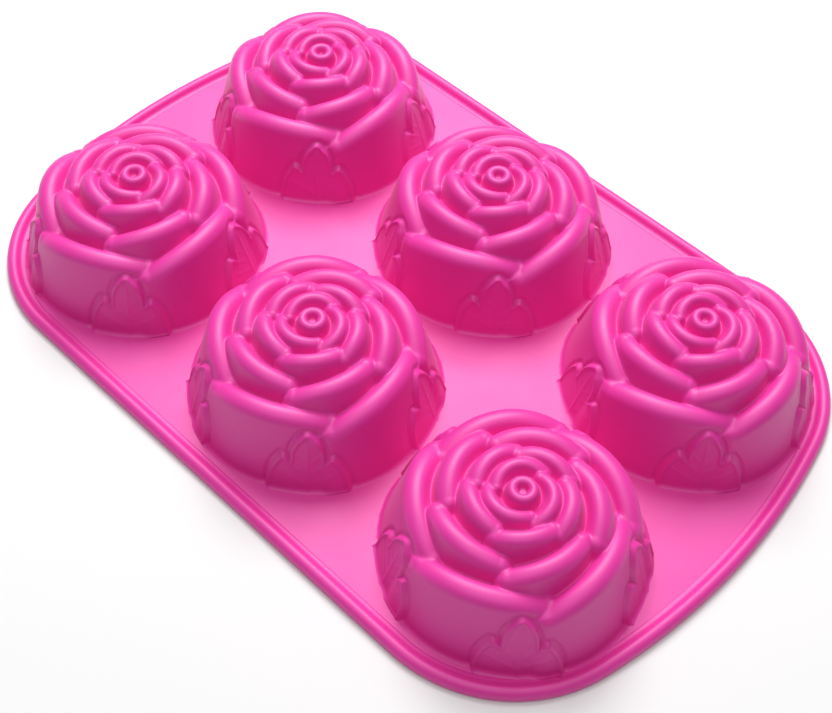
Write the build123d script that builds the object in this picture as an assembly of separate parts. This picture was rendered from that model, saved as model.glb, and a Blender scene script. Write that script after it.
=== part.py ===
from build123d import *
import math
import os

# A six-rose silicone mould lying upside down: roses up, the open side of every cup on the table.
# Millimetres, +Z up, +X along the three columns, origin at the middle of the underside.

# Layout of the cups on the deck
COLUMNS = 3
ROWS = 2
CUP_FOOT_RADIUS = 38.5      # outside of a cup where it leaves the deck
CUP_HEIGHT = 35.8           # table to the top of the bud
CUP_GAP = 6.0               # deck left between two neighbouring cup feet

# Sheet and rim
WALL = 1.3                  # moulded wall of the cups
DECK_THICKNESS = 1.6
END_MARGIN = 12.5           # last cup foot to the middle of a crowned short side
SIDE_MARGIN = 9.8           # cup foot to a long side
END_ARC_RADIUS = 223.0      # crown of the two short sides
CORNER_RADIUS = 49.0
RIM_WIDTH = 4.2
RIM_HEIGHT = 3.6
RIM_OUTER_ROUND = 1.9
RIM_INNER_ROUND = 1.3
RIM_FOOT_ROUND = 0.5

# The plain form under the petals
SKIRT_RUN = 4.9             # how far the lower wall leans in, foot to shoulder
SHOULDER_DROP = 16.3        # crown to the top of the lower wall
TROUGH_DROP = 14.3          # crown to the trough inside the outer petals
DOME_DROP = 4.2             # crown to the top of the dome that carries the bud

# Leaf sprigs on the lower wall
LEAF_COUNT = 5
LEAF_ANGLE = 25.0           # first sprig, from +X
LEAF_PROUD = 1.2            # face of a leaf out from the wall
# Points of a leaf's edge, from its foot to its tip: half the width there, height above the deck
LEAF_FOOT = (12.9, 0.0)
LEAF_BELLY = (11.6, 7.4)            # where the side lobe is fullest
LEAF_SIDE_TIP = (8.0, 13.2)
LEAF_LOBE_BROW = (6.5, 12.8)        # between the side tip and the notch
LEAF_NOTCH = (5.4, 11.4)
LEAF_FLANK = (3.7, 17.6)            # where the middle lobe is fullest
LEAF_TIP_EDGE = (0.9, 20.6)         # where its blunt tip begins
LEAF_TIP = (0.0, 20.9)
LEAF_RECESS_NARROWS = 0.7           # recess behind a leaf, in from each side, in walls
LEAF_CUT_START = 0.87               # inner end of the cut behind a leaf, in bloom radii

# Rounding along the top of every petal, as a part of the petal's width
PETAL_ROUND = 0.34

# Bud in the middle
BUD_RADIUS = 4.5
BUD_PIT_RADIUS = 1.3
BUD_PIT_DEPTH = 2.2
BUD_ROUND = 1.4

# Where one cup is divided into its named regions
PARTING_DROP = 17.3         # crown to the parting between lower wall and bloom
OUTER_PARTING_SHARE = 0.765         # partings between the petal rings, in bloom radii
BUD_PARTING_SHARE = 0.335

# Overall sizes that follow
DECK_TOP = DECK_THICKNESS
PITCH = 2 * CUP_FOOT_RADIUS + CUP_GAP
LENGTH = (COLUMNS - 1) * PITCH + 2 * (CUP_FOOT_RADIUS + END_MARGIN)
WIDTH = (ROWS - 1) * PITCH + 2 * (CUP_FOOT_RADIUS + SIDE_MARGIN)
BLOOM_RADIUS = CUP_FOOT_RADIUS - SKIRT_RUN
SHOULDER_Z = CUP_HEIGHT - SHOULDER_DROP
PARTING_Z = CUP_HEIGHT - PARTING_DROP
MOUTH_RADIUS = CUP_FOOT_RADIUS - WALL


class Tier:
    """One ring of equal petals. Each petal is a bead on an arc that starts outside its neighbour
    and ends tucked inside the next; radii are parts of the bloom radius, angles are in degrees."""

    def __init__(self, count, first, half_span, radii, width, drop, root_drop, draft):
        self.count = count
        self.first = first              # middle of the first petal, from +X
        self.half_span = half_span
        self.radii = radii              # start, middle and end of the bead's centre line
        self.width = width              # across the bead at its top
        self.drop = drop                # crown to the top of the bead
        self.root_drop = root_drop      # crown to the plane the petal grows from
        self.draft = draft              # lean of the petal's faces

    def centre_line(self, number):
        """The bead's arc in plan for one petal."""
        middle = self.first + number * 360 / self.count
        angles = (middle - self.half_span, middle, middle + self.half_span)
        points = [polar(part * BLOOM_RADIUS, angle) for part, angle in zip(self.radii, angles)]
        return ThreePointArc(*points)


OUTER = Tier(5, 2, 34, (0.95, 0.90, 0.86), width=5.0, drop=9.3, root_drop=30.8, draft=8)
MIDDLE = Tier(5, 47, 31, (0.69, 0.65, 0.605), width=4.4, drop=5.3, root_drop=15.3, draft=14)
INNER = Tier(5, 28, 33, (0.435, 0.42, 0.40), width=3.8, drop=1.8, root_drop=9.3, draft=12)
HEART = Tier(3, 30, 57, (0.27, 0.265, 0.22), width=3.0, drop=0.8, root_drop=6.3, draft=8)

# Radii of the parting rings, midway between the beads on each side
OUTER_PARTING = OUTER_PARTING_SHARE * BLOOM_RADIUS
BUD_PARTING = BUD_PARTING_SHARE * BLOOM_RADIUS


def polar(radius, degrees):
    return (radius * math.cos(math.radians(degrees)), radius * math.sin(math.radians(degrees)))


def sheet_outline(inset):
    """Plan of the mould: straight long sides, crowned short sides and round corners."""
    length, width = LENGTH - 2 * inset, WIDTH - 2 * inset
    end_radius = END_ARC_RADIUS - inset
    shift = end_radius - length / 2
    plan = Rectangle(length, width) & Circle(end_radius).moved(Location((shift, 0)))
    plan = plan & Circle(end_radius).moved(Location((-shift, 0)))
    return fillet(plan.vertices(), CORNER_RADIUS - inset)


def skirt_radius(z):
    """Outside of the leaning lower wall at a height."""
    rise = (z - DECK_TOP) / (SHOULDER_Z - DECK_TOP)
    return CUP_FOOT_RADIUS - SKIRT_RUN * rise


def core(inset):
    """Body of revolution under the petals: leaning wall, trough and dome."""
    floor_z = DECK_TOP if inset == 0 else 0
    trough = (OUTER_PARTING, CUP_HEIGHT - TROUGH_DROP - inset)
    top = (0, CUP_HEIGHT - DOME_DROP - inset)
    rise = top[1] - trough[1]
    dome_radius = (trough[0] ** 2 + rise ** 2) / (2 * rise)
    with BuildPart() as body:
        with BuildSketch(Plane.XZ):
            with BuildLine():
                Polyline((0, floor_z), (skirt_radius(floor_z) - inset, floor_z),
                         (BLOOM_RADIUS - inset, SHOULDER_Z - inset), trough)
                RadiusArc(trough, top, -dome_radius)
                Line(top, (0, floor_z))
            make_face()
        revolve(axis=Axis.Z)
    return body.part


def petal(tier, number, inset):
    """One petal: a drafted bead on its arc, rounded along the top."""
    root_z = CUP_HEIGHT - tier.root_drop
    rise = tier.root_drop - tier.drop - inset
    top_width = tier.width - 2 * inset
    root_width = top_width + 2 * rise * math.tan(math.radians(tier.draft))
    plan = SlotArc(tier.centre_line(number), root_width)
    solid = extrude(plan.moved(Location((0, 0, root_z))), rise, taper=tier.draft)
    return fillet(solid.faces().sort_by(Axis.Z)[-1].edges(), PETAL_ROUND * top_width)


def bud(inset):
    """The rolled middle of the bloom, a ring with a small pit."""
    root_z = CUP_HEIGHT - DOME_DROP - WALL - inset
    if inset:
        top_z = CUP_HEIGHT - BUD_PIT_DEPTH - inset
        middle = Location((0, 0, (top_z + root_z) / 2))
        return Cylinder(BUD_RADIUS - inset, top_z - root_z).moved(middle)
    height = CUP_HEIGHT - root_z
    ring = Cylinder(BUD_RADIUS, height).moved(Location((0, 0, root_z + height / 2)))
    ring = fillet(ring.faces().sort_by(Axis.Z)[-1].edges(), BUD_ROUND)
    pit = Cylinder(BUD_PIT_RADIUS, 2 * BUD_PIT_DEPTH).moved(Location((0, 0, CUP_HEIGHT)))
    return ring - pit


def leaf_outline(inset):
    """A three-lobed sprig, flat: across is X, up from the deck is Y. Inset, it is the recess
    behind the leaf, and runs on down through the deck."""
    def edge_point(point):
        return (point[0] - LEAF_RECESS_NARROWS * inset, point[1] - inset)

    foot, tip_edge = (edge_point(LEAF_FOOT)[0], 0), (LEAF_TIP_EDGE[0], LEAF_TIP_EDGE[1] - inset)
    side_tip, notch = edge_point(LEAF_SIDE_TIP), edge_point(LEAF_NOTCH)
    bottom_y = -DECK_TOP if inset else 0
    with BuildSketch() as face:
        with BuildLine():
            right = [
                ThreePointArc(foot, edge_point(LEAF_BELLY), side_tip),
                ThreePointArc(side_tip, edge_point(LEAF_LOBE_BROW), notch),
                ThreePointArc(notch, edge_point(LEAF_FLANK), tip_edge),
            ]
            if inset:
                right.append(Line(foot, (foot[0], bottom_y)))
            ThreePointArc(tip_edge, (0, LEAF_TIP[1] - inset), (-tip_edge[0], tip_edge[1]))
            for edge in right:
                mirror(edge, about=Plane.YZ)
            Line((-foot[0], bottom_y), (foot[0], bottom_y))
        make_face()
    return face.sketch


def leaf_prisms(inset):
    """Five radial prisms of the leaf outline, deep enough to cross the wall."""
    inner_radius = LEAF_CUT_START * BLOOM_RADIUS
    reach = CUP_FOOT_RADIUS + 2 * LEAF_PROUD - inner_radius
    outline = leaf_outline(inset)
    prisms = []
    for number in range(LEAF_COUNT):
        angle = LEAF_ANGLE + number * 360 / LEAF_COUNT
        x, y = polar(inner_radius, angle)
        across, outward = (*polar(1, angle + 90), 0), (*polar(1, angle), 0)
        plane = Plane(origin=(x, y, DECK_TOP), x_dir=across, z_dir=outward)
        prisms.append(extrude(plane * outline, reach))
    return prisms


def leaves(inset):
    """The five leaves: the prisms trimmed to a cone that stands out from the lower wall."""
    top_z = DECK_TOP + LEAF_TIP[1] + LEAF_PROUD
    out = LEAF_PROUD - inset
    with BuildPart() as cone:
        with BuildSketch(Plane.XZ):
            with BuildLine():
                Polyline((0, 0), (CUP_FOOT_RADIUS + out, 0), (CUP_FOOT_RADIUS + out, DECK_TOP),
                         (skirt_radius(top_z) + out, top_z), (0, top_z), close=True)
            make_face()
        revolve(axis=Axis.Z)
    return [cone.part & prism for prism in leaf_prisms(inset)]


def cup_form(inset):
    """One whole cup as a solid form: outside at inset 0, the space inside it at inset WALL."""
    petals = [petal(tier, number, inset) for tier in (OUTER, MIDDLE, INNER, HEART)
              for number in range(tier.count)]
    return core(inset) + petals + [bud(inset)] + leaves(inset)


def cylinder_above(radius, z):
    """Everything above a height and inside a radius, as a cutting tool."""
    height = CUP_HEIGHT
    return Cylinder(radius, height).moved(Location((0, 0, z + height / 2)))


def cup_regions():
    """The named regions of one cup, which meet face to face."""
    shell = cup_form(0) - cup_form(WALL)
    prisms = leaf_prisms(0)
    wall = shell - prisms
    bloom_tool = cylinder_above(2 * CUP_FOOT_RADIUS, PARTING_Z)
    petals_tool = cylinder_above(OUTER_PARTING, PARTING_Z)
    bud_tool = cylinder_above(BUD_PARTING, PARTING_Z)
    return {
        "skirt": wall - bloom_tool,
        "leaf_sprigs": shell & (Part() + prisms),
        "outer_petals": wall & (bloom_tool - petals_tool),
        "inner_petals": wall & (petals_tool - bud_tool),
        "bud": wall & bud_tool,
    }


def cup_centres():
    """Cup positions, row by row from the front."""
    return [((column - (COLUMNS - 1) / 2) * PITCH, (row - (ROWS - 1) / 2) * PITCH)
            for row in range(ROWS) for column in range(COLUMNS)]


def deck():
    """The flat web between the cups, open under every one of them."""
    plate = extrude(sheet_outline(RIM_WIDTH), DECK_THICKNESS)
    mouth = Cylinder(MOUTH_RADIUS, 4 * DECK_THICKNESS) + leaves(WALL)
    return plate - [mouth.moved(Location((x, y, 0))) for x, y in cup_centres()]


def rim():
    """The thick rounded bead round the edge."""
    bead = extrude(sheet_outline(0) - sheet_outline(RIM_WIDTH), RIM_HEIGHT)
    top = bead.faces().sort_by(Axis.Z)[-1]
    bead = fillet(top.outer_wire().edges(), RIM_OUTER_ROUND)
    top = bead.faces().filter_by(Plane.XY).sort_by(Axis.Z)[-1]
    bead = fillet(top.inner_wires()[0].edges(), RIM_INNER_ROUND)
    foot = bead.faces().filter_by(Plane.XY).sort_by(Axis.Z)[0]
    return fillet(foot.outer_wire().edges(), RIM_FOOT_ROUND)


def main():
    nodes = {"deck": deck(), "rim": rim()}
    regions = cup_regions()
    for number, (x, y) in enumerate(cup_centres(), start=1):
        for region, shape in regions.items():
            nodes[f"rose_{number}_{region}"] = shape.moved(Location((x, y, 0)))
    os.makedirs("parts", exist_ok=True)
    for name, shape in nodes.items():
        export_step(shape, f"parts/{name}.step", write_pcurves=False)
        print(name, round(shape.volume, 1), len(shape.solids()))


main()
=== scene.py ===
import math
import bpy
import numpy as np
from mathutils import Matrix, Vector


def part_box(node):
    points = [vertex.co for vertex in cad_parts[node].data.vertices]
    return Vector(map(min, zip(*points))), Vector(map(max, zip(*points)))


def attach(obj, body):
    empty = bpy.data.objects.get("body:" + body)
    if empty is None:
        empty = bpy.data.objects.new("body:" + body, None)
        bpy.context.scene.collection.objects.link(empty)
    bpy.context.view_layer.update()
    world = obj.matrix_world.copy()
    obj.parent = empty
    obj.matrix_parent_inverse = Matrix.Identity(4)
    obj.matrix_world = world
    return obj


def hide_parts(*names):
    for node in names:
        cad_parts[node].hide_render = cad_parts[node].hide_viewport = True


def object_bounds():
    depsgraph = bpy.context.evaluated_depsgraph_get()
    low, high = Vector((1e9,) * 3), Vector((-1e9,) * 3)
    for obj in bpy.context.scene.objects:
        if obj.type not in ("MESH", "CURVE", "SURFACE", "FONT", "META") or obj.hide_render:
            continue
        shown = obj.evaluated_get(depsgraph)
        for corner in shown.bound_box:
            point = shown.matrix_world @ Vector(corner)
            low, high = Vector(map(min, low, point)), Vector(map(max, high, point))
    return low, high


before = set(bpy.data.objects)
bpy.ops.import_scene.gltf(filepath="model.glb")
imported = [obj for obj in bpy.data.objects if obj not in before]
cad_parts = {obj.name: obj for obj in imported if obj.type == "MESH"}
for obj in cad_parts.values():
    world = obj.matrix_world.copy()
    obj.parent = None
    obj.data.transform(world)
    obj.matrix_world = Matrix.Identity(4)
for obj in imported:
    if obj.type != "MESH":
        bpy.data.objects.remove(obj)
cad_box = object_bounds()

# A silicone soap mould of six rose cups, lying upside down. Shapes are worked out in millimetres,
# and turned to metres where a mesh is made.
MM = 0.001
low, high = cad_box
LENGTH, WIDTH, CROWN = ((high[i] - low[i]) / MM for i in range(3))
DECK_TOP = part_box("deck")[1][2] / MM
ROSES = 6

# ---------------------------------------------------------------- camera, floor and light

def look(yaw, rise, roll):
    """Axes of a camera turned round the mould by yaw, raised by rise and tipped by roll, in degrees."""
    yaw, rise, roll = (math.radians(angle) for angle in (yaw, rise, roll))
    back = Vector((math.sin(yaw) * math.cos(rise), -math.cos(yaw) * math.cos(rise), math.sin(rise)))
    right = Vector((math.cos(yaw), math.sin(yaw), 0))
    up = back.cross(right)
    return (math.cos(roll) * right + math.sin(roll) * up, math.cos(roll) * up - math.sin(roll) * right, back)


CAMERA_YAW, CAMERA_RISE, CAMERA_ROLL = 41.721, 53.703, 2.639
CAMERA_TARGET = Vector((14.3, -10.7, 0))
CAMERA_DISTANCE = 434.9
LENS = 58.25

right, up, back = look(CAMERA_YAW, CAMERA_RISE, CAMERA_ROLL)
camera_data = bpy.data.cameras.new("camera")
camera_data.lens = LENS
camera_data.sensor_width = 36
camera_data.clip_start = 0.01
camera = bpy.data.objects.new("camera", camera_data)
camera.matrix_world = (Matrix.Translation((CAMERA_TARGET + back * CAMERA_DISTANCE) * MM)
                       @ Matrix((right, up, back)).transposed().to_4x4())
bpy.context.collection.objects.link(camera)
bpy.context.scene.camera = camera
bpy.context.scene.view_settings.view_transform = "Standard"


def softbox(name, place, side, power):
    """A square studio panel turned to the mould, in metres and watts."""
    data = bpy.data.lights.new(name, "AREA")
    data.shape = "RECTANGLE"
    data.size, data.size_y, data.energy = side, side, power
    panel = bpy.data.objects.new(name, data)
    panel.location = place
    panel.rotation_euler = (-Vector(place)).to_track_quat("-Z", "Y").to_euler()
    bpy.context.collection.objects.link(panel)


# The back panel gives the satin its haze, and the wide one overhead opens up the shadows
softbox("back panel", (-0.42, 0.47, 0.87), 0.6, 12)
softbox("overhead panel", (0.1, -0.15, 1.2), 1.2, 6.5)

world = bpy.data.worlds.new("studio")
bpy.context.scene.world = world
world.use_nodes = True
studio_air = world.node_tree.nodes["Background"].inputs
studio_air["Color"].default_value = (1, 1, 1, 1)
studio_air["Strength"].default_value = 0.18

# ---------------------------------------------------------------- finishes

def srgb(code):
    """A hex colour as linear red, green, blue and alpha."""
    parts = [int(code[i:i + 2], 16) / 255 for i in (1, 3, 5)]
    return (*(c / 12.92 if c <= 0.04045 else ((c + 0.055) / 1.055) ** 2.4 for c in parts), 1)


def add(tree, kind, values=None, links=None, **settings):
    """Adds a shader node with its settings, socket values and incoming links."""
    node = tree.nodes.new(kind)
    for name, value in settings.items():
        setattr(node, name, value)
    for name, value in (values or {}).items():
        node.inputs[name].default_value = value
    for name, source in (links or {}).items():
        tree.links.new(source, node.inputs[name])
    return node


def moulded_silicone():
    """Pigmented platinum-cure silicone rubber, compression moulded in a blasted steel tool.
    The tool leaves a fine even satin, the pigment is dense, and a little light soaks in."""
    material = bpy.data.materials.new("satin moulded silicone rubber")
    material.use_nodes = True
    tree = material.node_tree
    tree.nodes.clear()
    place = add(tree, "ShaderNodeTexCoord").outputs["Object"]
    # Pigment drifts a little over centimetres
    drift = add(tree, "ShaderNodeTexNoise", {"Scale": 45, "Detail": 2, "Roughness": 0.5}, {"Vector": place})
    pigment = add(tree, "ShaderNodeMix", {"A": srgb("#E42E9E"), "B": srgb("#EA3AA6")},
                  {"Factor": drift.outputs["Fac"]}, data_type="RGBA")
    # Blasted tool grain, 0.25 mm, and handling haze over some 15 mm
    grain = add(tree, "ShaderNodeTexNoise", {"Scale": 4000, "Detail": 2, "Roughness": 0.6}, {"Vector": place})
    haze = add(tree, "ShaderNodeTexNoise", {"Scale": 65, "Detail": 3, "Roughness": 0.55}, {"Vector": place})
    satin = add(tree, "ShaderNodeMapRange", {"To Min": 0.43, "To Max": 0.51}, {"Value": haze.outputs["Fac"]})
    bump = add(tree, "ShaderNodeBump", {"Strength": 0.12, "Distance": 0.00004},
               {"Height": grain.outputs["Fac"]})
    shader = add(tree, "ShaderNodeBsdfPrincipled",
                 {"IOR": 1.45, "Specular IOR Level": 0.8, "Specular Tint": (0.9, 0.9, 1, 1),
                  "Sheen Weight": 0.1, "Sheen Roughness": 0.4, "Subsurface Weight": 0.06,
                  "Subsurface Radius": (1, 0.25, 0.45), "Subsurface Scale": 0.0015},
                 {"Base Color": pigment.outputs["Result"], "Roughness": satin.outputs["Result"],
                  "Normal": bump.outputs["Normal"]})
    add(tree, "ShaderNodeOutputMaterial", links={"Surface": shader.outputs["BSDF"]})
    return material


def studio_floor():
    """Seamless white paper sweep, matt."""
    material = bpy.data.materials.new("matt white paper sweep")
    material.use_nodes = True
    shader = material.node_tree.nodes["Principled BSDF"]
    shader.inputs["Base Color"].default_value = srgb("#EDEDED")
    shader.inputs["Roughness"].default_value = 0.9
    shader.inputs["Specular IOR Level"].default_value = 0.1
    return material


silicone = moulded_silicone()

# ---------------------------------------------------------------- form of one rose cup

CUP_FOOT = 38.4             # outside radius of a cup at the deck
SKIRT_LEAN = 4.8 / 17.9     # how far the side wall leans in for each millimetre up
FOOT_FILLET = 1.1           # hollow rounding where the wall runs into the deck
SHOULDER = 21.0             # plain form outside the petals stops rising here
SHOULDER_BLEND = 2.5
WALL = 1.3
DOME_TOP, DOME_ROUND = 31.2, 34.6
DOME_BLEND = 0.8
FOOT_SINK = 0.3             # the cup's foot runs this far into the deck sheet
EYE = -70.0                 # the form is measured along lines that fan out from here on its axis


def polar(radius, degrees):
    """A place in plan from its radius and angle."""
    return radius * math.cos(math.radians(degrees)), radius * math.sin(math.radians(degrees))


def blended_max(a, b, blend):
    """The higher of two forms, with a soft valley between them."""
    share = np.clip(0.5 + 0.5 * (a - b) / blend, 0, 1)
    return b + (a - b) * share + blend * share * (1 - share)


def smooth_step(x, start, end):
    t = np.clip((x - start) / (end - start), 0, 1)
    return t * t * (3 - 2 * t)


def bead_drop(distance, rounding, lean):
    """How far a bead's face has dropped at a distance from its crest: first round, then straight."""
    slope = math.radians(lean)
    edge = rounding * math.sin(slope)
    near = np.minimum(distance, edge)
    curved = rounding - np.sqrt(rounding ** 2 - near ** 2)
    return curved + np.maximum(distance - edge, 0) * math.tan(slope)


def circle_through(a, b, c):
    """Centre and radius of the circle through three points of the plan."""
    (ax, ay), (bx, by), (cx, cy) = a, b, c
    a2, b2, c2 = ax * ax + ay * ay, bx * bx + by * by, cx * cx + cy * cy
    d = 2 * (ax * (by - cy) + bx * (cy - ay) + cx * (ay - by))
    x = (a2 * (by - cy) + b2 * (cy - ay) + c2 * (ay - by)) / d
    y = (a2 * (cx - bx) + b2 * (ax - cx) + c2 * (bx - ax)) / d
    return x, y, math.hypot(ax - x, ay - y)


CREST_POWER = 2.2           # a petal's crest stays high and then falls off to its ends


class PetalRing:
    """One ring of equal petals. A petal is a rolled edge on an arc in plan. It starts outside its
    neighbour and ends tucked inside the next. Radii and heights are at start, middle and end."""

    def __init__(self, count, first, half_span, radii, heights, outside, inside):
        self.heights = heights
        self.outside, self.inside = outside, inside      # (rounding, lean) of the two faces
        self.arcs = []
        for number in range(count):
            middle = first + number * 360 / count
            points = [polar(r, middle + part * half_span) for r, part in zip(radii, (-1, 0, 1))]
            x, y, radius = circle_through(*points)
            start, centre, end = (math.atan2(py - y, px - x) for px, py in points)
            back = math.remainder(start - centre, 2 * math.pi)
            ahead = math.remainder(end - centre, 2 * math.pi)
            self.arcs.append((x, y, radius, centre, back, ahead))

    def height(self, x, y, arc):
        """Height of one petal's form over the plan."""
        centre_x, centre_y, radius, middle, back, ahead = arc
        dx, dy = x - centre_x, y - centre_y
        turn = (np.arctan2(dy, dx) - middle + math.pi) % (2 * math.pi) - math.pi
        held = np.clip(turn, back, ahead)
        near_x, near_y = radius * np.cos(held + middle), radius * np.sin(held + middle)
        distance = np.hypot(dx - near_x, dy - near_y)
        side = (np.hypot(dx, dy) - radius) / np.maximum(distance, 1e-6)
        part = np.where(held < 0, -held / back, held / ahead)
        start_z, middle_z, end_z = self.heights
        crest = middle_z + (np.where(part < 0, start_z, end_z) - middle_z) * np.abs(part) ** CREST_POWER
        outer = bead_drop(distance, *self.outside)
        inner = bead_drop(distance, *self.inside)
        return crest - (inner + (outer - inner) * smooth_step(side, -0.6, 0.6))


RINGS = [
    PetalRing(5, 2, 36, (30.8, 28.9, 27.7), (22.8, 27.4, 23.6), outside=(4.2, 75), inside=(3.2, 60)),
    PetalRing(5, 47, 32, (22.8, 21.3, 19.7), (28.8, 31.3, 29.6), outside=(3.7, 74), inside=(2.8, 62)),
    PetalRing(5, 28, 34, (14.4, 13.7, 12.8), (32.6, 34.5, 33.2), outside=(3.0, 74), inside=(2.2, 64)),
    PetalRing(3, 30, 58, (9.0, 8.6, 7.3), (33.4, 35.3, 34.0), outside=(2.2, 72), inside=(1.7, 64)),
]
OVERLAP_BLEND = 0.6         # valley where a petal slips under its neighbour
VALLEY_BLEND = 2.0          # valley between two rings
BUD_CREST, BUD_ROUNDING, BUD_LEAN, BUD_PIT_FLOOR = 2.95, 1.5, 74, 33.5
BUD_BLEND = 0.4


def cup_height(x, y):
    """Height of the cup's outside over a point of its plan, leaves left out."""
    r = np.hypot(x, y)
    dome = DOME_TOP - DOME_ROUND + np.sqrt(DOME_ROUND ** 2 - np.minimum(r, DOME_ROUND - 0.1) ** 2)
    side_wall = DECK_TOP + (CUP_FOOT - r) / SKIRT_LEAN
    body = -blended_max(-side_wall, np.full_like(r, -SHOULDER), SHOULDER_BLEND)
    form = blended_max(dome, body, DOME_BLEND)
    for ring in RINGS:
        petals = ring.height(x, y, ring.arcs[0])
        for arc in ring.arcs[1:]:
            petals = blended_max(petals, ring.height(x, y, arc), OVERLAP_BLEND)
        form = blended_max(form, petals, VALLEY_BLEND)
    bud = CROWN - bead_drop(np.abs(r - BUD_CREST), BUD_ROUNDING, BUD_LEAN)
    bud = np.where(r < BUD_CREST, np.maximum(bud, BUD_PIT_FLOOR), bud)
    return np.where(r < BUD_CREST, bud, blended_max(form, bud, BUD_BLEND))


# ---------------------------------------------------------------- leaf sprigs on the side wall

LEAF_FIRST, LEAF_PITCH = 25.0, 72.0
LEAF_PLATE = 0.9            # face of a leaf out from the wall
LEAF_EDGE = 0.55            # raised line round a leaf, above its face
LEAF_KEEL = 0.35            # fold along the middle, above the face
LEAF_INNER_REACH = 25       # leaves are only outside this radius
LEAF_GROOVE = 0.45           # sunk line in the wall round a leaf


def arc_points(a, b, c, count=14):
    """Points along the arc through a, b and c."""
    x, y, radius = circle_through(a, b, c)
    start, middle, end = (math.atan2(p[1] - y, p[0] - x) for p in (a, b, c))
    sweep = math.remainder(middle - start, 2 * math.pi) + math.remainder(end - middle, 2 * math.pi)
    turns = start + np.linspace(0, sweep, count)
    return np.stack((x + radius * np.cos(turns), y + radius * np.sin(turns)), 1)


def leaf_outline():
    """A three-lobed sprig, flat: across, up from the deck."""
    right_half = np.vstack([
        [(12.9, -4.0)],
        arc_points((12.9, 0), (11.6, 7.4), (8.0, 13.2)),
        arc_points((8.0, 13.2), (6.5, 12.8), (5.4, 11.4))[1:],
        arc_points((5.4, 11.4), (4.3, 17.0), (1.5, 20.5))[1:],
        arc_points((1.5, 20.5), (0.8, 20.95), (0, 21.1), 5)[1:],
    ])
    return np.vstack([right_half, right_half[-2::-1] * (-1, 1)])


def depth_inside(x, y, outline):
    """Distance to a closed outline, positive inside it."""
    nearest = np.full(x.shape, np.inf)
    inside = np.zeros(x.shape, bool)
    for (x0, y0), (x1, y1) in zip(outline, np.roll(outline, -1, axis=0)):
        dx, dy = x1 - x0, y1 - y0
        along = np.clip(((x - x0) * dx + (y - y0) * dy) / (dx * dx + dy * dy), 0, 1)
        nearest = np.minimum(nearest, np.hypot(x - x0 - along * dx, y - y0 - along * dy))
        if y0 != y1:
            inside ^= ((y0 > y) != (y1 > y)) & (x < dx * (y - y0) / dy + x0)
    return np.where(inside, nearest, -nearest)


SPRIG_ACROSS, SPRIG_UP = np.linspace(-17, 17, 341), np.linspace(-2, 24, 261)


def sprig_relief():
    """How far the wall stands out over one sprig, as a table of across and up."""
    across, rise = np.meshgrid(SPRIG_ACROSS, SPRIG_UP)
    depth = depth_inside(across, rise, leaf_outline())
    off_middle = np.abs(across)
    plate = smooth_step(depth, -0.25, 0.35)
    edge = LEAF_EDGE * np.exp(-((depth - 0.75) / 0.42) ** 2)
    keel = LEAF_KEEL * np.clip(1 - off_middle / 12, 0, 1) * np.clip(1 - rise / 21, 0, 1)
    face = smooth_step(depth, 0.8, 1.6)
    ribs = 0.22 * np.exp(-(across / 0.45) ** 2) * np.clip((19 - rise) / 3, 0, 1)
    for foot, slope in ((2.5, 0.55), (6.0, 0.8), (9.5, 1.1)):
        off_vein = (rise - foot - slope * off_middle) / math.hypot(1, slope)
        vein = 0.12 * np.exp(-(off_vein / 0.35) ** 2) * np.clip(off_middle / 1.5, 0, 1)
        ribs = np.maximum(ribs, vein)
    groove = LEAF_GROOVE * np.exp(-((depth + 0.6) / 0.5) ** 2)
    return plate * (LEAF_PLATE + keel + edge + ribs * face) - groove


SPRIG = sprig_relief()


def standing_out(x, y, z):
    """How far the side wall stands out there for a leaf sprig."""
    r = np.hypot(x, y)
    off = (np.degrees(np.arctan2(y, x)) - LEAF_FIRST + LEAF_PITCH / 2) % LEAF_PITCH - LEAF_PITCH / 2
    columns = (np.radians(off) * r - SPRIG_ACROSS[0]) / (SPRIG_ACROSS[1] - SPRIG_ACROSS[0])
    rows = (z - DECK_TOP - SPRIG_UP[0]) / (SPRIG_UP[1] - SPRIG_UP[0])
    columns = np.clip(columns, 0, len(SPRIG_ACROSS) - 1.001)
    rows = np.clip(rows, 0, len(SPRIG_UP) - 1.001)
    i, j = rows.astype(int), columns.astype(int)
    u, v = rows - i, columns - j
    sprig = ((SPRIG[i, j] * (1 - v) + SPRIG[i, j + 1] * v) * (1 - u)
             + (SPRIG[i + 1, j] * (1 - v) + SPRIG[i + 1, j + 1] * v) * u)
    # Hollow rounding at the foot
    below = FOOT_FILLET - np.clip(z - DECK_TOP, 0, FOOT_FILLET)
    return sprig + FOOT_FILLET - np.sqrt(FOOT_FILLET ** 2 - below ** 2)


def depth_in_cup(x, y, z):
    """Positive inside the cup's outside form, with its leaves."""
    r = np.maximum(np.hypot(x, y), 1e-6)
    pulled_in = np.maximum(r - np.where(r > LEAF_INNER_REACH, standing_out(x, y, z), 0), 0) / r
    return cup_height(x * pulled_in, y * pulled_in) - z


# Directions to feel the wall's thickness in: up, round about and level
FEELERS = [(0, 0, 1)] + [(*polar(math.cos(math.radians(tilt)), turn + tilt), math.sin(math.radians(tilt)))
                         for tilt in (55, 20) for turn in range(0, 360, 60)]


def depth_in_hollow(x, y, z):
    """Positive inside the hollow, which is a wall's thickness in from the outside everywhere."""
    depth = np.full(x.shape, np.inf)
    for dx, dy, dz in FEELERS:
        depth = np.minimum(depth, depth_in_cup(x + WALL * dx, y + WALL * dy, z + WALL * dz))
    return depth


HALVINGS = 24               # brings a point of the skin to within a hundred-thousandth of a millimetre


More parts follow.
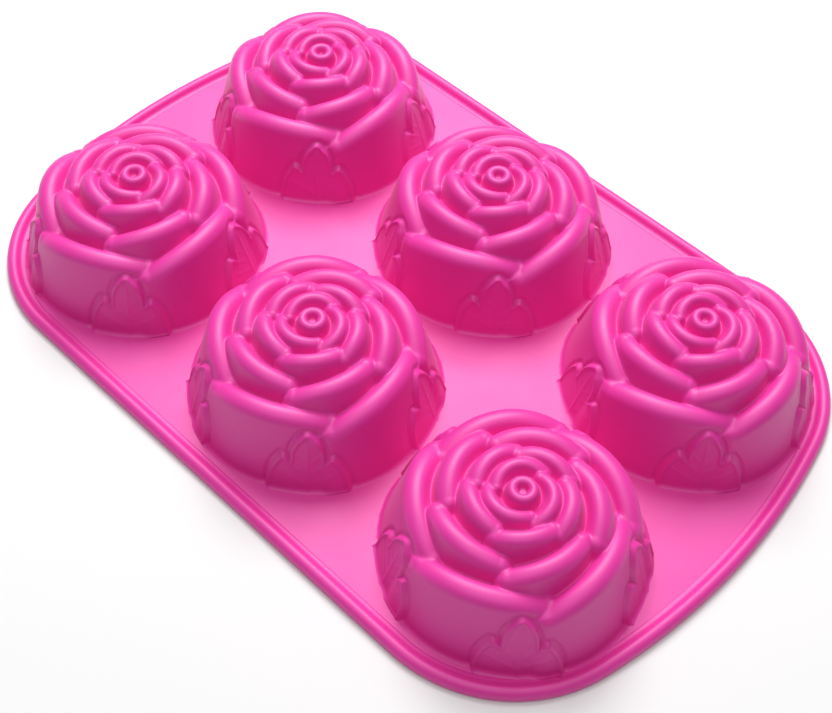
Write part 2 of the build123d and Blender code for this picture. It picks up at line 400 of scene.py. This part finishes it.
def skin(form, turns, tilts):
    """Points where lines fanning out from the eye leave a form: one row for each tilt."""
    turn, tilt = np.meshgrid(np.linspace(0, 2 * math.pi, turns, endpoint=False), tilts)
    dx, dy, dz = np.sin(tilt) * np.cos(turn), np.sin(tilt) * np.sin(turn), np.cos(tilt)
    inner = np.full(tilt.shape, DECK_TOP - EYE - 10)
    outer = np.full(tilt.shape, CROWN - EYE + 10)
    for _ in range(HALVINGS):
        middle = (inner + outer) / 2
        inside = form(dx * middle, dy * middle, EYE + dz * middle) > 0
        inner, outer = np.where(inside, middle, inner), np.where(inside, outer, middle)
    return np.stack((dx * middle, dy * middle, EYE + dz * middle), 2)


def tilt_to(radius, z):
    """Tilt of the line from the eye to a ring of that radius and height."""
    return math.atan2(radius, z - EYE)


class Shell:
    """Rows of points joined into one closed skin."""

    def __init__(self):
        self.points, self.faces = [], []
        self.count = 0

    def row(self, points):
        first = self.count
        self.points.append(points)
        self.count += len(points)
        return np.arange(first, self.count)

    def join(self, a, b):
        """Quads between two rows, or fans where the second has twice as many points."""
        step = len(b) // len(a)
        for k in range(len(a)):
            following = (k + 1) % len(a)
            reach = [b[(k * step + m) % len(b)] for m in range(step + 1)]
            self.faces.append([a[k], *reach, a[following]])

    def cap(self, row):
        self.faces.append(list(row))

    def mesh(self, name):
        mesh = bpy.data.meshes.new(name)
        mesh.from_pydata(np.vstack(self.points) * MM, [], [[int(v) for v in face] for face in self.faces])
        mesh.validate()
        mesh.polygons.foreach_set("use_smooth", [True] * len(mesh.polygons))
        mesh.materials.append(silicone)
        return mesh


BLOOM_EDGE = (33.0, 21.5)   # radius and height where the bloom's rows give way to finer ones
FOOT_SPARE = 0.6            # past the leaves' feet and the foot's rounding
FIRST_TILT = 0.002          # of the smallest ring, round the axis
BLOOM_TURNS, SKIRT_TURNS, HOLLOW_TURNS = 300, 600, 150
BLOOM_ROWS, SKIRT_ROWS, HOLLOW_ROWS = 125, 65, 80


def rose_cup():
    """One whole cup, outside and hollow, as one closed skin."""
    bloom_tilts = np.linspace(FIRST_TILT, tilt_to(*BLOOM_EDGE), BLOOM_ROWS)
    foot_edge = CUP_FOOT + LEAF_PLATE + FOOT_FILLET + FOOT_SPARE
    skirt_tilts = np.linspace(bloom_tilts[-1], tilt_to(foot_edge, DECK_TOP), SKIRT_ROWS + 1)[1:]
    bloom = skin(depth_in_cup, BLOOM_TURNS, bloom_tilts)
    skirt = skin(depth_in_cup, SKIRT_TURNS, skirt_tilts)
    skirt[:, :, 2] = np.maximum(skirt[:, :, 2], DECK_TOP - FOOT_SINK)
    shell = Shell()
    rows = [shell.row(points) for points in (*bloom, *skirt)]
    shell.cap(rows[0])
    for upper, lower in zip(rows, rows[1:]):
        shell.join(upper, lower)
    hollow_tilts = np.linspace(FIRST_TILT, tilt_to(CUP_FOOT - WALL, DECK_TOP), HOLLOW_ROWS)
    hollow = skin(depth_in_hollow, HOLLOW_TURNS, hollow_tilts)
    mouth = hollow[-1] * (1, 1, 0) + (0, 0, DECK_TOP - FOOT_SINK)
    inner_rows = [shell.row(points[::-1]) for points in (*hollow, mouth)]
    shell.cap(inner_rows[0])
    for upper, lower in zip(inner_rows, inner_rows[1:]):
        shell.join(upper, lower)
    # Underside of the wall, between the mouth and the foot
    step = len(rows[-1]) // len(inner_rows[-1])
    inner = inner_rows[-1][::-1]
    for k in range(len(inner)):
        reach = [rows[-1][(k * step + m) % len(rows[-1])] for m in range(step + 1)]
        shell.faces.append([inner[k], inner[(k + 1) % len(inner)], *reach[::-1]])
    return shell.mesh("rose cup")


REGIONS = ("skirt", "leaf_sprigs", "outer_petals", "inner_petals", "bud")
cup_mesh = rose_cup()
for number in range(1, ROSES + 1):
    bud_low, bud_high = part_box(f"rose_{number}_bud")
    cup = bpy.data.objects.new(f"rose_{number}", cup_mesh)
    cup.location = ((bud_low[0] + bud_high[0]) / 2, (bud_low[1] + bud_high[1]) / 2, 0)
    bpy.context.collection.objects.link(cup)
    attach(cup, "root")
    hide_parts(*(f"rose_{number}_{region}" for region in REGIONS))

# ---------------------------------------------------------------- rim bead

END_ARC, CORNER = 223.0, 49.0
# Section of the bead: in from the outline, up from the table
BEAD_FOOT = [(0.45, 0.0), (0.15, 0.12), (0.0, 0.45)]
BEAD_TOP = [(0.0, 1.2), (0.06, 1.75), (0.3, 2.4), (0.75, 3.0), (1.35, 3.42), (2.0, 3.6), (2.6, 3.58),
            (3.15, 3.4), (3.6, 3.05), (3.9, 2.65), (4.15, 2.25), (4.5, 1.93), (4.95, 1.73), (5.5, 1.64),
            (6.1, 1.605)]
BEAD_ROOT = [(6.3, 1.3), (4.2, 0.4), (4.1, 0.0)]


def outline_with_normals():
    """Plan of the mould as points and outward directions: straight sides, crowned ends, round corners."""
    half_length, half_width = LENGTH / 2, WIDTH / 2
    arc_centre = half_length - END_ARC
    corner_y = half_width - CORNER
    corner_x = arc_centre + math.sqrt((END_ARC - CORNER) ** 2 - corner_y ** 2)
    meeting = math.atan2(corner_y, corner_x - arc_centre)
    points, normals = [], []
    for turn in np.linspace(0, meeting, 22)[:-1]:
        points.append((arc_centre + END_ARC * math.cos(turn), END_ARC * math.sin(turn)))
        normals.append((math.cos(turn), math.sin(turn)))
    for turn in np.linspace(meeting, math.pi / 2, 48):
        points.append((corner_x + CORNER * math.cos(turn), corner_y + CORNER * math.sin(turn)))
        normals.append((math.cos(turn), math.sin(turn)))
    for x in np.linspace(corner_x, 0, 30)[1:]:
        points.append((x, half_width))
        normals.append((0, 1))
    quarter, quarter_normals = np.array(points), np.array(normals)
    half = np.vstack([quarter, quarter[-2::-1] * (-1, 1)])
    half_normals = np.vstack([quarter_normals, quarter_normals[-2::-1] * (-1, 1)])
    whole = np.vstack([half, half[-2:0:-1] * (1, -1)])
    whole_normals = np.vstack([half_normals, half_normals[-2:0:-1] * (1, -1)])
    return whole, whole_normals


def rim_bead():
    """The bead's section swept round the outline, as one closed skin."""
    plan, normals = outline_with_normals()
    shell = Shell()
    section = BEAD_FOOT + BEAD_TOP + BEAD_ROOT
    rows = []
    for inset, z in section:
        ring = plan - normals * inset
        rows.append(shell.row(np.column_stack([ring, np.full(len(ring), z)])))
    for a, b in zip(rows, rows[1:] + rows[:1]):
        shell.join(b, a)
    return shell.mesh("rim bead")


rim = bpy.data.objects.new("rim_bead", rim_bead())
bpy.context.collection.objects.link(rim)
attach(rim, "root")
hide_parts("rim")

# The deck sheet stays as it is in the CAD, in the same rubber
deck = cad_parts["deck"]
for slot in deck.material_slots:
    slot.material = silicone
if not deck.material_slots:
    deck.data.materials.append(silicone)

# ---------------------------------------------------------------- floor

FLOOR_SIZE, FLOOR_DROP = 6, 0.0001      # metres: the sweep lies a hair under the mould
bpy.ops.mesh.primitive_plane_add(size=FLOOR_SIZE, location=(0, 0, -FLOOR_DROP))
floor = bpy.context.object
floor.name = "floor"
floor.data.materials.append(studio_floor())
